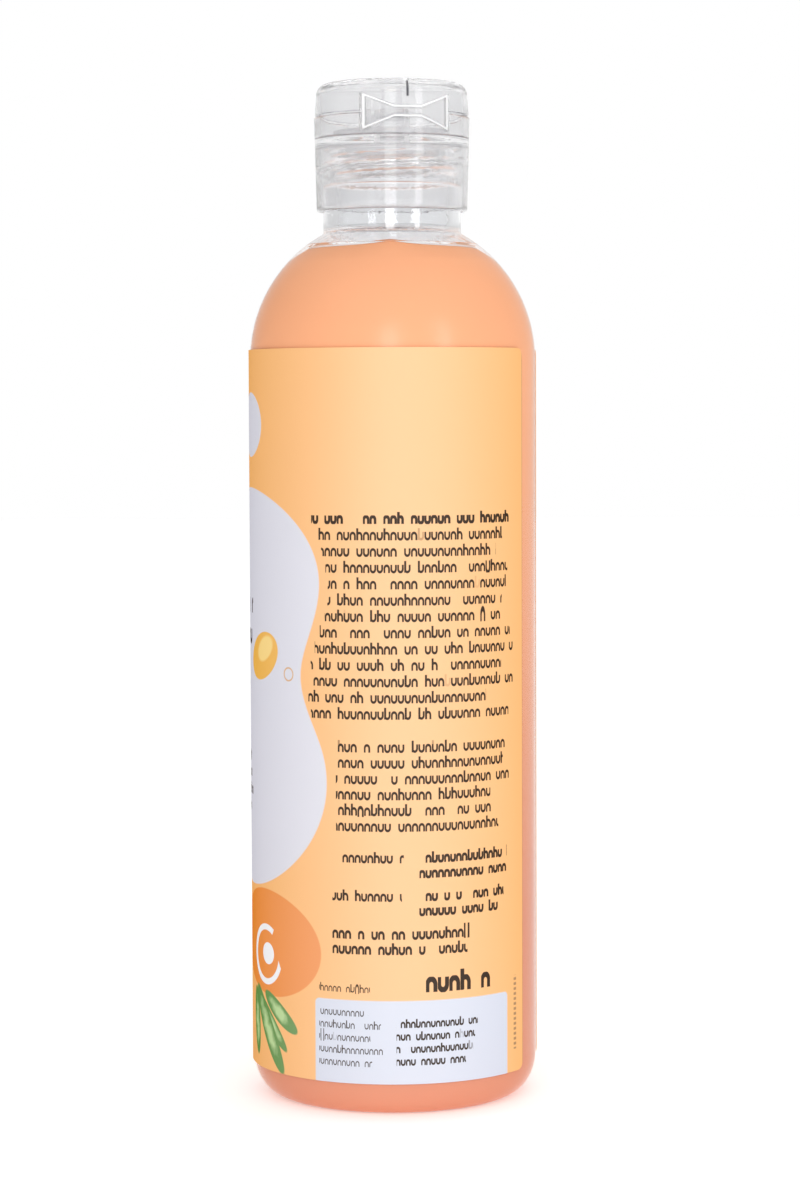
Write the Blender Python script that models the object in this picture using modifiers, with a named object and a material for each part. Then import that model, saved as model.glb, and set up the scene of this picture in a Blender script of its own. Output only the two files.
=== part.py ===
"""Clear round bottle of shampoo with a wrap label and a flip-top screw closure. Metres, +Z up.

The bottle stands on Z = 0 with its axis on Z. The lid's hinge is on the -Y side of the closure.
"""
import math

import bmesh
import bpy
from mathutils import Vector

# Body of the bottle: a straight cylinder under a domed shoulder
BODY_RADIUS = 0.0250
BODY_HEIGHT = 0.1293
BODY_WALL = 0.00065
BASE_CORNER_WIDTH = 0.0050
BASE_CORNER_HEIGHT = 0.0070
BASE_WALL = 0.0012
REST_RING_WIDTH = 0.0020
PUNT_DEPTH = 0.0035
PUNT_STATIONS = (0.35, 0.7, 0.88)

# Neck: a plain ring under a threaded mouth
NECK_RADIUS = 0.0109
NECK_WALL = 0.0013
NECK_RING_STEP = 0.00115
NECK_RING_HEIGHT = 0.0084
NECK_RING_ROUND = 0.0006
MOUTH_HEIGHT = 0.0062
RIM_ROUND = 0.0005

# Thread shared by the mouth and the closure: 8 turns to the inch, right-handed
THREAD_PITCH = 0.003175
THREAD_DEPTH = 0.0010
THREAD_FOOT = 0.0014
THREAD_CREST = 0.0007
MOUTH_THREAD_TURNS = 1.25
MOUTH_THREAD_LEAD = 0.00115
MOUTH_THREAD_START = -72.0
CLOSURE_THREAD_TURNS = 1.0
CLOSURE_THREAD_DELAY = 150.0
CLOSURE_THREAD_FOOT = 0.0010
CLOSURE_THREAD_CREST = 0.0006
THREAD_FIT = 0.00045
THREAD_ROOT_SINK = 0.0003
THREAD_STEPS_PER_TURN = 48
THREAD_FADE = 24.0

# Shampoo inside
FILL_GAP = 0.0003
FILL_DROP = 0.0019

# Label: one film wrapped round the body, open between two angles counted from -Y towards +X
LABEL_BOTTOM = 0.0060
LABEL_RISE = 0.0017
LABEL_GAP = 0.00015
LABEL_THICKNESS = 0.00012
LABEL_CORNER = 0.0016
LABEL_OPEN_FROM = 49.5
LABEL_OPEN_TO = 81.0
LABEL_STEP = 1.5

# Closure base: a threaded skirt, a deck over the mouth and a spout
CLOSURE_FIT = 0.00035
CLOSURE_WALL = 0.0008
CLOSURE_FLARE = 0.0004
SKIRT_OVERLAP = 0.0046
SKIRT_ROUND = 0.0005
SEAT_GAP = 0.0003
DECK_THICKNESS = 0.0015
DECK_RECESS = 0.0037
SPOUT_HEIGHT = 0.0052
SPOUT_RADIUS = 0.00325
SPOUT_WALL = 0.00115

# Seal ring that hangs from the deck into the mouth
SEAL_FIT = 0.0003
SEAL_WALL = 0.0009
SEAL_DEPTH = 0.0030
SEAL_CHAMFER = 0.0003

# Lid
LID_GAP = 0.0003
LID_STEP = 0.00015
LID_TAPER = 0.00025
LID_HEIGHT = 0.0056
LID_WALL = 0.0010
LID_TOP_WALL = 0.0012
LID_CORNER = 0.0020
LID_INNER_CORNER = 0.0010
PLUG_DEPTH = 0.0015
PLUG_FIT = 0.0003
PLUG_TIP = 0.0004

# Thumb recess under the lid's front edge
THUMB_HALF_ANGLE = 27.0
THUMB_DEPTH = 0.0007
THUMB_HEIGHT = 0.0042
THUMB_SLOPE = 0.0010

# Living hinge: a centre strap between two bow-tie lobes, moulded in a window of the wall
HINGE_STANDOFF = 0.0001
HINGE_HALF_ANGLE = 34.0
HINGE_OUTER_HEIGHT = 0.0061
HINGE_INNER_HEIGHT = 0.0024
STRAP_WIDTH = 0.0047
WEB_THICKNESS = 0.0005
WEB_SINK = 0.00005
WINDOW_GAP = 0.0003
WINDOW_REACH = 0.0005

TURN_STEPS = 64
ARC_STEPS = 6
REACH = 0.0020

# Sizes that follow from the ones above
NECK_RING_RADIUS = NECK_RADIUS + NECK_RING_STEP
NECK_BORE = NECK_RADIUS - NECK_WALL
INNER_RADIUS = BODY_RADIUS - BODY_WALL
NECK_BASE_Z = BODY_HEIGHT + math.sqrt(BODY_RADIUS**2 - NECK_RING_RADIUS**2)
NECK_ROOT_Z = BODY_HEIGHT + math.sqrt(INNER_RADIUS**2 - NECK_BORE**2)
RING_TOP_Z = NECK_BASE_Z + NECK_RING_HEIGHT
RIM_Z = RING_TOP_Z + MOUTH_HEIGHT

CLOSURE_BORE = NECK_RING_RADIUS + CLOSURE_FIT
SKIRT_RADIUS = CLOSURE_BORE + CLOSURE_WALL
BASE_TOP_RADIUS = SKIRT_RADIUS + CLOSURE_FLARE
SKIRT_Z = RING_TOP_Z - SKIRT_OVERLAP
DECK_UNDER_Z = RIM_Z + SEAT_GAP
DECK_Z = DECK_UNDER_Z + DECK_THICKNESS
BASE_TOP_Z = DECK_Z + DECK_RECESS
SPOUT_TOP_Z = DECK_Z + SPOUT_HEIGHT
ORIFICE_RADIUS = SPOUT_RADIUS - SPOUT_WALL

LID_RADIUS = BASE_TOP_RADIUS - LID_STEP
LID_BOTTOM_Z = BASE_TOP_Z + LID_GAP
LID_TOP_Z = LID_BOTTOM_Z + LID_HEIGHT
LID_UNDER_Z = LID_TOP_Z - LID_TOP_WALL

HINGE_Y = -(BASE_TOP_RADIUS + HINGE_STANDOFF)
HINGE_Z = BASE_TOP_Z + LID_GAP / 2
WEB_RADIUS = LID_RADIUS - WEB_SINK
STRAP_HALF_ANGLE = math.degrees(STRAP_WIDTH / 2 / WEB_RADIUS)
LOBE_GAP_ANGLE = math.degrees(WINDOW_GAP / WEB_RADIUS)


def arc(centre_r, centre_z, radius, start, end, steps=ARC_STEPS):
    """Points of an arc in the radius-height plane, angles in degrees from outward towards up."""
    turns = [math.radians(start + (end - start) * i / steps) for i in range(steps + 1)]
    return [(centre_r + radius * math.cos(a), centre_z + radius * math.sin(a)) for a in turns]


def base_corner(inset, floor_z, steps):
    """Quarter oval from the straight wall down to the floor, set in from the outside."""
    centre = BODY_RADIUS - BASE_CORNER_WIDTH
    width = BASE_CORNER_WIDTH - inset
    height = BASE_CORNER_HEIGHT - floor_z
    turns = [math.radians(90 * i / steps) for i in range(steps + 1)]
    return [(centre + width * math.cos(a), floor_z + height * (1 - math.sin(a))) for a in turns]


def punt_dome(edge_z):
    """The dome pushed up into the base, from its edge to the axis."""
    edge = BODY_RADIUS - BASE_CORNER_WIDTH - REST_RING_WIDTH
    stations = [1.0, *reversed(PUNT_STATIONS), 0.0]
    return [(edge * t, edge_z + PUNT_DEPTH * (1 - t * t)) for t in stations]


def around(radius, degrees, height):
    """A point at a radius, at an angle counted from -Y towards +X."""
    angle = math.radians(degrees)
    return Vector((radius * math.sin(angle), -radius * math.cos(angle), height))


def make_material(name, colour, roughness, alpha=1.0):
    material = bpy.data.materials.new(name)
    material.use_nodes = True
    shader = material.node_tree.nodes["Principled BSDF"]
    shader.inputs["Base Color"].default_value = (*colour, 1.0)
    shader.inputs["Roughness"].default_value = roughness
    shader.inputs["Metallic"].default_value = 0.0
    shader.inputs["Alpha"].default_value = alpha
    return material


def make_object(name, mesh, collection, material=None):
    part = bpy.data.objects.new(name, mesh)
    collection.objects.link(part)
    if material:
        mesh.materials.append(material)
    return part


def profile_mesh(name, points, closed):
    """A wire profile in the XZ plane, at +X, which a Screw modifier turns round Z."""
    mesh = bpy.data.meshes.new(name)
    edges = [(i, i + 1) for i in range(len(points) - 1)]
    if closed:
        edges.append((len(points) - 1, 0))
    mesh.from_pydata([(r, 0.0, z) for r, z in points], edges, [])
    return mesh


def turned(name, points, collection, material, closed=False):
    """A body of revolution. Its profile runs down the outer side."""
    part = make_object(name, profile_mesh(name, points, closed), collection, material)
    screw = part.modifiers.new("turn", "SCREW")
    screw.axis = "Z"
    screw.steps = TURN_STEPS
    screw.render_steps = TURN_STEPS
    screw.use_merge_vertices = True
    screw.merge_threshold = 0.00001
    return part


def boolean(part, cutter, operation):
    modifier = part.modifiers.new(cutter.name, "BOOLEAN")
    modifier.object = cutter
    modifier.operation = operation
    modifier.solver = "EXACT"


def make_cutter(name, mesh, collection):
    cutter = make_object(name, mesh, collection)
    cutter.hide_render = True
    cutter.display_type = "WIRE"
    return cutter


def thread_ridge(name, root, tip, foot, crest, start, turns, start_z, collection):
    """A helical ridge from radius root to radius tip that fades in and out at its ends."""
    steps = round(turns * THREAD_STEPS_PER_TURN)
    sunk = root - math.copysign(THREAD_ROOT_SINK, tip - root)
    corners = [(sunk, -foot / 2), (tip, -crest / 2), (tip, crest / 2), (sunk, foot / 2)]

    def section(step):
        turned_by = 360.0 * turns * step / steps
        to_end = min(turned_by, 360.0 * turns - turned_by)
        swell = min(1.0, 0.1 + 0.9 * to_end / THREAD_FADE)
        height = start_z + THREAD_PITCH * turned_by / 360.0
        return [around(sunk + (r - sunk) * swell, start + turned_by, height + z * swell)
                for r, z in corners]

    bm = bmesh.new()
    face = bm.faces.new([bm.verts.new(point) for point in section(0)])
    for step in range(1, steps + 1):
        made = bmesh.ops.extrude_face_region(bm, geom=[face])["geom"]
        if step > 1:
            bmesh.ops.delete(bm, geom=[face], context="FACES_ONLY")
        face = next(item for item in made if isinstance(item, bmesh.types.BMFace))
        for vertex, point in zip(face.verts, section(step)):
            vertex.co = point
    bmesh.ops.recalc_face_normals(bm, faces=bm.faces)
    mesh = bpy.data.meshes.new(name)
    bm.to_mesh(mesh)
    bm.free()
    return make_cutter(name, mesh, collection)


def curved_sheet(name, shape, columns, rows, corner, thickness, offset, collection, material):
    """A thin sheet: a grid whose corners are rounded, then bent by shape(across, up)."""
    bm = bmesh.new()
    bmesh.ops.create_grid(bm, x_segments=columns, y_segments=rows, size=0.5)
    for vertex in bm.verts:
        vertex.co = shape(vertex.co.x + 0.5, vertex.co.y + 0.5)
    if corner:
        corners = [vertex for vertex in bm.verts if len(vertex.link_faces) == 1]
        bmesh.ops.bevel(bm, geom=corners, offset=corner, offset_type="OFFSET", segments=4,
                        profile=0.5, affect="VERTICES")
    mesh = bpy.data.meshes.new(name)
    bm.to_mesh(mesh)
    bm.free()
    sheet = make_object(name, mesh, collection, material)
    solid = sheet.modifiers.new("thickness", "SOLIDIFY")
    solid.thickness = thickness
    solid.offset = offset
    return sheet


def build_bottle(collection, cutters):
    """The blown bottle: one wall from the punted base to the threaded mouth."""
    neck_angle = math.degrees(math.asin((NECK_BASE_Z - BODY_HEIGHT) / BODY_RADIUS))
    root_angle = math.degrees(math.asin((NECK_ROOT_Z - BODY_HEIGHT) / INNER_RADIUS))
    ring_round_z = RING_TOP_Z - NECK_RING_ROUND

    inside = punt_dome(BASE_WALL)[::-1]
    inside += base_corner(BODY_WALL, BASE_WALL, 6)[::-1]
    inside += arc(0.0, BODY_HEIGHT, INNER_RADIUS, 0, root_angle, 9)
    mouth = arc(NECK_RADIUS - RIM_ROUND, RIM_Z - RIM_ROUND, RIM_ROUND, 90, 0, 3)
    ring = arc(NECK_RING_RADIUS - NECK_RING_ROUND, ring_round_z, NECK_RING_ROUND, 90, 0, 3)
    outside = arc(0.0, BODY_HEIGHT, BODY_RADIUS, neck_angle, 0, 9)
    outside += base_corner(0.0, 0.0, 8)
    points = inside + [(NECK_BORE, RIM_Z)] + mouth + [(NECK_RADIUS, RING_TOP_Z)] + ring + outside

    clear = make_material("clear_pet", (0.86, 0.88, 0.89), 0.05, 0.3)
    bottle = turned("bottle", points + punt_dome(0.0), collection, clear)
    ridge = thread_ridge("mouth_thread", NECK_RADIUS, NECK_RADIUS + THREAD_DEPTH, THREAD_FOOT,
                         THREAD_CREST, MOUTH_THREAD_START, MOUTH_THREAD_TURNS,
                         RING_TOP_Z + MOUTH_THREAD_LEAD, cutters)
    boolean(bottle, ridge, "UNION")
    return bottle


def build_shampoo(collection):
    """The liquid, a fill gap inside the bottle's wall, up to its level in the shoulder."""
    radius = INNER_RADIUS - FILL_GAP
    floor_z = BASE_WALL + FILL_GAP
    level = NECK_BASE_Z - FILL_DROP
    level_angle = math.degrees(math.asin((level - BODY_HEIGHT) / radius))
    points = [(0.0, level)] + arc(0.0, BODY_HEIGHT, radius, level_angle, 0, 9)
    points += base_corner(BODY_WALL + FILL_GAP, floor_z, 6)
    points += punt_dome(floor_z)
    peach = make_material("peach_shampoo", (0.91, 0.42, 0.18), 0.25)
    return turned("shampoo_fill", points, collection, peach)


def build_label(collection):
    """The wrap label, a thin film on the straight part of the body."""
    radius = BODY_RADIUS + LABEL_GAP
    sweep = 360.0 - (LABEL_OPEN_TO - LABEL_OPEN_FROM)
    top = BODY_HEIGHT + LABEL_RISE

    def wrap(across, up):
        height = LABEL_BOTTOM + (top - LABEL_BOTTOM) * up
        return around(radius, LABEL_OPEN_TO + sweep * across, height)

    film = make_material("label_film", (0.93, 0.66, 0.36), 0.2)
    return curved_sheet("label", wrap, round(sweep / LABEL_STEP), 3, LABEL_CORNER,
                        LABEL_THICKNESS, 1.0, collection, film)


def hinge_window(name, collection):
    """The bow-tie opening in the walls of the closure base and the lid."""
    outer_x = WEB_RADIUS * math.sin(math.radians(HINGE_HALF_ANGLE)) + WINDOW_GAP
    inner_x = STRAP_WIDTH / 2
    outer_z = HINGE_OUTER_HEIGHT / 2 + WINDOW_GAP
    inner_z = HINGE_INNER_HEIGHT / 2 + WINDOW_GAP
    back_y = -math.sqrt((CLOSURE_BORE - WINDOW_REACH)**2 - outer_x**2)
    front_y = HINGE_Y - REACH
    right = [(inner_x, -inner_z), (outer_x, -outer_z), (outer_x, outer_z), (inner_x, inner_z)]
    outline = right + [(-x, z) for x, z in reversed(right)]
    bm = bmesh.new()
    face = bm.faces.new([bm.verts.new((x, front_y, HINGE_Z + z)) for x, z in outline])
    made = bmesh.ops.extrude_face_region(bm, geom=[face])["geom"]
    moved = [item for item in made if isinstance(item, bmesh.types.BMVert)]
    bmesh.ops.translate(bm, verts=moved, vec=(0.0, back_y - front_y, 0.0))
    bmesh.ops.recalc_face_normals(bm, faces=bm.faces)
    mesh = bpy.data.meshes.new(name)
    bm.to_mesh(mesh)
    bm.free()
    return make_cutter(name, mesh, collection)


def thumb_recess(collection):
    """A shallow sector under the lid's front edge, opposite the hinge."""
    floor = BASE_TOP_RADIUS - THUMB_DEPTH
    outer = BASE_TOP_RADIUS + REACH
    low = BASE_TOP_Z - THUMB_HEIGHT
    section = [(floor, low + THUMB_SLOPE), (outer, low), (outer, BASE_TOP_Z + REACH),
               (floor, BASE_TOP_Z + REACH)]
    bm = bmesh.new()
    face = bm.faces.new([bm.verts.new(around(r, 180.0 - THUMB_HALF_ANGLE, z)) for r, z in section])
    bmesh.ops.spin(bm, geom=[face], axis=(0.0, 0.0, 1.0), cent=(0.0, 0.0, 0.0),
                   angle=math.radians(2 * THUMB_HALF_ANGLE), steps=12)
    bmesh.ops.recalc_face_normals(bm, faces=bm.faces)
    mesh = bpy.data.meshes.new("thumb_recess")
    bm.to_mesh(mesh)
    bm.free()
    return make_cutter("thumb_recess", mesh, collection)


def build_closure_base(collection, cutters, material):
    """The screw-on base: skirt, deck and spout in one moulding."""
    skirt = arc(SKIRT_RADIUS - SKIRT_ROUND, SKIRT_Z + SKIRT_ROUND, SKIRT_ROUND, 0, -90, 3)
    points = [(CLOSURE_BORE, BASE_TOP_Z), (BASE_TOP_RADIUS, BASE_TOP_Z)] + skirt
    points += [(CLOSURE_BORE, SKIRT_Z), (CLOSURE_BORE, DECK_UNDER_Z)]
    points += [(ORIFICE_RADIUS, DECK_UNDER_Z), (ORIFICE_RADIUS, SPOUT_TOP_Z)]
    points += [(SPOUT_RADIUS, SPOUT_TOP_Z), (SPOUT_RADIUS, DECK_Z), (CLOSURE_BORE, DECK_Z)]
    base = turned("closure_base", points, collection, material, closed=True)
    start_z = RING_TOP_Z + MOUTH_THREAD_LEAD - THREAD_PITCH / 2
    start_z += THREAD_PITCH * CLOSURE_THREAD_DELAY / 360.0
    ridge = thread_ridge("closure_thread", CLOSURE_BORE, NECK_RADIUS + THREAD_FIT,
                         CLOSURE_THREAD_FOOT, CLOSURE_THREAD_CREST,
                         MOUTH_THREAD_START + CLOSURE_THREAD_DELAY, CLOSURE_THREAD_TURNS,
                         start_z, cutters)
    boolean(base, ridge, "UNION")
    boolean(base, hinge_window("hinge_window_base", cutters), "DIFFERENCE")
    boolean(base, thumb_recess(cutters), "DIFFERENCE")
    return base


def build_seal_ring(collection, material):
    """The ring under the deck that plugs the mouth's bore."""
    outer = NECK_BORE - SEAL_FIT
    top = DECK_UNDER_Z - SEAT_GAP
    points = [(outer - SEAL_WALL, top), (outer, top), (outer, top - SEAL_DEPTH + SEAL_CHAMFER)]
    points += [(outer - SEAL_CHAMFER, top - SEAL_DEPTH), (outer - SEAL_WALL, top - SEAL_DEPTH)]
    return turned("mouth_seal_ring", points, collection, material, closed=True)


def build_lid(collection, cutters, material):
    """The flip-up lid with the plug that closes the spout."""
    plug_radius = ORIFICE_RADIUS - PLUG_FIT
    plug_z = SPOUT_TOP_Z - PLUG_DEPTH
    top_radius = LID_RADIUS - LID_TAPER
    inner = LID_RADIUS - LID_WALL
    points = [(0.0, LID_TOP_Z)]
    points += arc(top_radius - LID_CORNER, LID_TOP_Z - LID_CORNER, LID_CORNER, 90, 0)
    points += [(LID_RADIUS, LID_BOTTOM_Z), (inner, LID_BOTTOM_Z)]
    points += arc(inner - LID_INNER_CORNER, LID_UNDER_Z - LID_INNER_CORNER, LID_INNER_CORNER,
                  0, 90, 4)
    points += [(plug_radius, LID_UNDER_Z), (plug_radius, plug_z + PLUG_TIP)]
    points += [(plug_radius - PLUG_TIP, plug_z), (0.0, plug_z)]
    lid = turned("lid", points, collection, material)
    boolean(lid, hinge_window("hinge_window_lid", cutters), "DIFFERENCE")
    return lid


def build_hinge(collection, material):
    """The strap and the two lobes that join the lid to the closure base."""
    lobe_start = STRAP_HALF_ANGLE + LOBE_GAP_ANGLE

    def strap(across, up):
        height = HINGE_Z + HINGE_INNER_HEIGHT * (up - 0.5)
        return around(WEB_RADIUS, STRAP_HALF_ANGLE * (2 * across - 1), height)

    def lobe(across, up):
        tall = HINGE_INNER_HEIGHT + (HINGE_OUTER_HEIGHT - HINGE_INNER_HEIGHT) * across
        angle = lobe_start + (HINGE_HALF_ANGLE - lobe_start) * across
        return around(WEB_RADIUS, angle, HINGE_Z + tall * (up - 0.5))

    def lobe_left(across, up):
        point = lobe(1 - across, up)
        return Vector((-point.x, point.y, point.z))

    pieces = []
    for name, shape, columns in (("hinge_strap", strap, 4), ("hinge_lobe_right", lobe, 8),
                                 ("hinge_lobe_left", lobe_left, 8)):
        pieces.append(curved_sheet(name, shape, columns, 3, 0.0, WEB_THICKNESS, -1.0,
                                   collection, material))
    return pieces


def hang_on_axis(name, point, parts, parent, collection):
    """Parent the parts to an empty that stands on their joint's axis."""
    empty = bpy.data.objects.new(name, None)
    empty.empty_display_size = 0.01
    collection.objects.link(empty)
    empty.location = point
    if parent:
        empty.location = Vector(point) - parent.location
        empty.parent = parent
    for part in parts:
        cut_by = [modifier.object for modifier in part.modifiers if modifier.type == "BOOLEAN"]
        for piece in [part] + cut_by:
            piece.parent = empty
            piece.location = -Vector(point)
    return empty


def main():
    for leftover in list(bpy.data.objects):
        bpy.data.objects.remove(leftover, do_unlink=True)
    scene = bpy.context.scene
    collection = bpy.data.collections.new("shampoo_bottle")
    cutters = bpy.data.collections.new("shampoo_bottle_cutters")
    scene.collection.children.link(collection)
    scene.collection.children.link(cutters)

    build_bottle(collection, cutters)
    build_shampoo(collection)
    build_label(collection)

    moulded = make_material("clear_pp", (0.80, 0.81, 0.82), 0.15, 0.4)
    lid_clear = make_material("clear_pp_lid", (0.82, 0.83, 0.84), 0.15, 0.4)
    web_clear = make_material("clear_pp_hinge", (0.88, 0.89, 0.90), 0.2, 0.5)
    seal_clear = make_material("clear_pp_seal", (0.78, 0.79, 0.80), 0.2, 0.5)
    base = build_closure_base(collection, cutters, moulded)
    seal = build_seal_ring(collection, seal_clear)
    lid = build_lid(collection, cutters, lid_clear)
    webs = build_hinge(collection, web_clear)

    screw_axis = hang_on_axis("closure_axis", (0.0, 0.0, RIM_Z), [base, seal], None, collection)
    hinge_point = (0.0, HINGE_Y, HINGE_Z)
    hang_on_axis("lid_axis", hinge_point, [lid], screw_axis, collection)
    hang_on_axis("web_axis", hinge_point, webs, screw_axis, collection)


main()
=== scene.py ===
"""Clear shampoo bottle with a wrap label and a flip-top screw closure, dressed for a studio view.

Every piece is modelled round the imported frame: metres, +Z up, the bottle's axis on Z.
"""
import math

import bpy
from bpy.props import FloatProperty, FloatVectorProperty, IntProperty, PointerProperty
from mathutils import Matrix, Vector


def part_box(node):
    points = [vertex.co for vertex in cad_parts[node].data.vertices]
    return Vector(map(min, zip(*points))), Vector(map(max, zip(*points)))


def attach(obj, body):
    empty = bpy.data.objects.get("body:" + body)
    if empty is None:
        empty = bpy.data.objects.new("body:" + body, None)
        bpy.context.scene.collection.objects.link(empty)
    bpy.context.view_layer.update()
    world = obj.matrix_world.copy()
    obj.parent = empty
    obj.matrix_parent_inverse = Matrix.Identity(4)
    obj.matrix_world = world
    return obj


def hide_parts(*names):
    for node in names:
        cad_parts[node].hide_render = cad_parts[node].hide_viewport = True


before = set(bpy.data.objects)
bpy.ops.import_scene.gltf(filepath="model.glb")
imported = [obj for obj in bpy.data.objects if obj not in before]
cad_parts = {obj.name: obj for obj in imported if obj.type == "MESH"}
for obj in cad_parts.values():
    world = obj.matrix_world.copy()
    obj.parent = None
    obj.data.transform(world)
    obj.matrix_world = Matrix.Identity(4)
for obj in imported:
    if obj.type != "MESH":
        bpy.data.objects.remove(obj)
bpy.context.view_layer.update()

bl_info = {
    "name": "Shampoo Bottle",
    "version": (1, 0, 0),
    "blender": (4, 5, 0),
    "location": "3D View > Sidebar > Bottle",
    "description": "A clear shampoo bottle with a wrap label and a flip-top closure",
    "category": "Add Mesh",
}

MM = 0.001
MERGE_DISTANCE = 0.000002
FULL_TURN = 2 * math.pi
PER_DEGREE = math.radians(1)
CIRCLE = 360.0

# clear plastics: refraction, shade of moulded edges, share of light let through as shadow,
# and turns of a ray inside the wall before it gets out
PET_INDEX = 1.57
PP_INDEX = 1.49
WHITE = (1.0, 1.0, 1.0)
EDGE_SHADE = (0.42, 0.42, 0.46)
LIGHT_PASSED = 0.85
TRAPPED_TURNS = 3.5

# threads: start over the neck ring, starts round the axis and run-out in degrees, crest
THREAD_RISE = 1.15 * MM
NECK_THREAD_START = -72.0
SKIRT_THREAD_START = 78.0
THREAD_RUN_OUT = 14.0
THREAD_CREST = 0.5 * MM
# small roundings, and the heights and radii of the lid's edge and the hinge's web
RIM_ROUND = 0.25 * MM
EDGE = 0.1 * MM
FILLET = 0.4 * MM
LID_BOTTOM = 0.171604
WEB_RADIUS = 0.0134
WEB_NARROW = 1.9 * MM

BOTTLE_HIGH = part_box("bottle")[1]
LABEL_LOW, LABEL_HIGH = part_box("label")
BASE_LOW, BASE_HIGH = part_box("closure_base")
LID_LOW, LID_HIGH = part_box("lid")
SEAL_LOW, SEAL_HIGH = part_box("mouth_seal_ring")
LIQUID_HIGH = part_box("shampoo_fill")[1]
STRAP_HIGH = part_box("hinge_strap")[1]
LOBE_LOW, LOBE_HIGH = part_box("hinge_lobe_right")


def tint(red, green, blue):
    """A linear colour from values of 0 to 255."""
    return tuple(((c / 255 + 0.055) / 1.055) ** 2.4 if c > 10 else c / 255 / 12.92
                 for c in (red, green, blue))


# ---------------------------------------------------------------- sizes and colours


def length(name, about, default):
    """A size in metres."""
    return FloatProperty(name=name, description=about, default=default, unit="LENGTH")


def bearing(name, about, degrees):
    """An angle, given in degrees."""
    return FloatProperty(name=name, description=about, default=math.radians(degrees),
                         subtype="ANGLE", unit="ROTATION")


def pigment(name, about, default):
    """A linear colour."""
    return FloatVectorProperty(name=name, description=about, subtype="COLOR", default=default,
                               min=0, max=1)


def brightness(name, about, default):
    """A light's strength, relative to white."""
    return FloatProperty(name=name, description=about, default=default, min=0)


class BottleSizes(bpy.types.PropertyGroup):
    """Sizes of the bottle, its liquid and its label."""

    body_radius: length("Body Radius", "Outer radius of the straight body", BOTTLE_HIGH.x)
    shoulder_start: length(
        "Shoulder Start", "Height where the body turns into the domed shoulder", 0.1293)
    wall: length("Wall", "Thickness of the blown wall", 0.00065)
    corner_width: length(
        "Base Corner Width", "How far the rounded base edge reaches inwards", 0.005)
    corner_height: length("Base Corner Height", "How far the rounded base edge reaches up", 0.007)
    punt_depth: length("Punt Depth", "How far the middle of the base is pushed up", 0.0035)
    ring_radius: length("Neck Ring Radius", "Radius of the plain ring under the thread", 0.01205)
    ring_top: length("Neck Ring Top", "Height of the neck ring's upper edge", 0.159604)
    neck_radius: length("Neck Radius", "Radius of the mouth at the thread's root", 0.0109)
    bore: length("Bore", "Inner radius of the mouth", 0.0096)
    thread_pitch: length("Thread Pitch", "Rise of the thread in one turn", 0.003175)
    thread_depth: length("Thread Depth", "Height of the thread above its root", 0.001)
    liquid_level: length("Liquid Level", "Height of the shampoo's surface", LIQUID_HIGH.z)
    label_corner: length("Label Corner", "Radius of the label's corners", 0.0016)
    label_from: bearing("Label Open From", "Angle from -Y towards +X where the gap starts", 49.5)
    label_to: bearing("Label Open To", "Angle from -Y towards +X where the gap ends", 81.0)


class ClosureSizes(bpy.types.PropertyGroup):
    """Sizes of the flip-top closure."""

    bore: length("Skirt Bore", "Inner radius of the threaded skirt", 0.0124)
    skirt_radius: length("Skirt Radius", "Outer radius at the bottom of the skirt", 0.0132)
    wall_top: length("Wall Top", "Height where the base ends under the lid", 0.171304)
    deck_bottom: length("Deck Bottom", "Height of the deck's underside", 0.166104)
    deck_top: length("Deck Top", "Height of the deck's upper side", 0.167604)
    spout_radius: length("Spout Radius", "Outer radius of the spout", 0.00325)
    orifice_radius: length("Orifice Radius", "Inner radius of the spout", 0.0021)
    lid_wall: length("Lid Wall", "Thickness of the lid's side wall", 0.001)
    lid_corner: length("Lid Corner", "Radius of the lid's top edge", 0.002)
    thumb_angle: bearing(
        "Thumb Recess Angle", "How far the thumb recess reaches round the skirt", 54.0)
    thumb_depth: length("Thumb Recess Depth", "How deep the thumb recess is cut", 0.0007)
    thumb_height: length("Thumb Recess Height", "Height of the thumb recess under the lid", 0.0042)
    thumb_slope: length("Thumb Recess Slope", "Rise of the recess's sloping sill", 0.001)
    hinge_height: length("Hinge Height", "Height of the hinge line", 0.171454)
    web_thickness: length("Web Thickness", "Thickness of the hinge strap and lobes", 0.0005)


class FinishColours(bpy.types.PropertyGroup):
    """Colours of the liquid, the label's print and the mouldings."""

    liquid: pigment("Shampoo", "Colour of the pearly liquid", tint(247, 176, 132))
    liquid_low: pigment("Shampoo Low", "Colour of the liquid near the base", tint(222, 147, 118))
    ground: pigment("Label Ground", "Colour of the label's plain ground", tint(248, 183, 110))
    panel: pigment("Label Panel", "Colour of the wavy panel", tint(218, 217, 227))
    patch: pigment("Label Patch", "Colour of the round patch", tint(237, 140, 48))
    leaf: pigment("Label Leaf", "Colour of the leaf drawing", tint(92, 142, 60))
    ink: pigment("Label Ink", "Colour of the small print", tint(50, 32, 14))
    clear_bottle: pigment("Bottle Plastic", "Tint of the clear bottle", (0.955, 0.962, 0.975))
    clear_closure: pigment("Closure Plastic", "Tint of the clear closure", (0.945, 0.946, 0.955))


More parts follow.
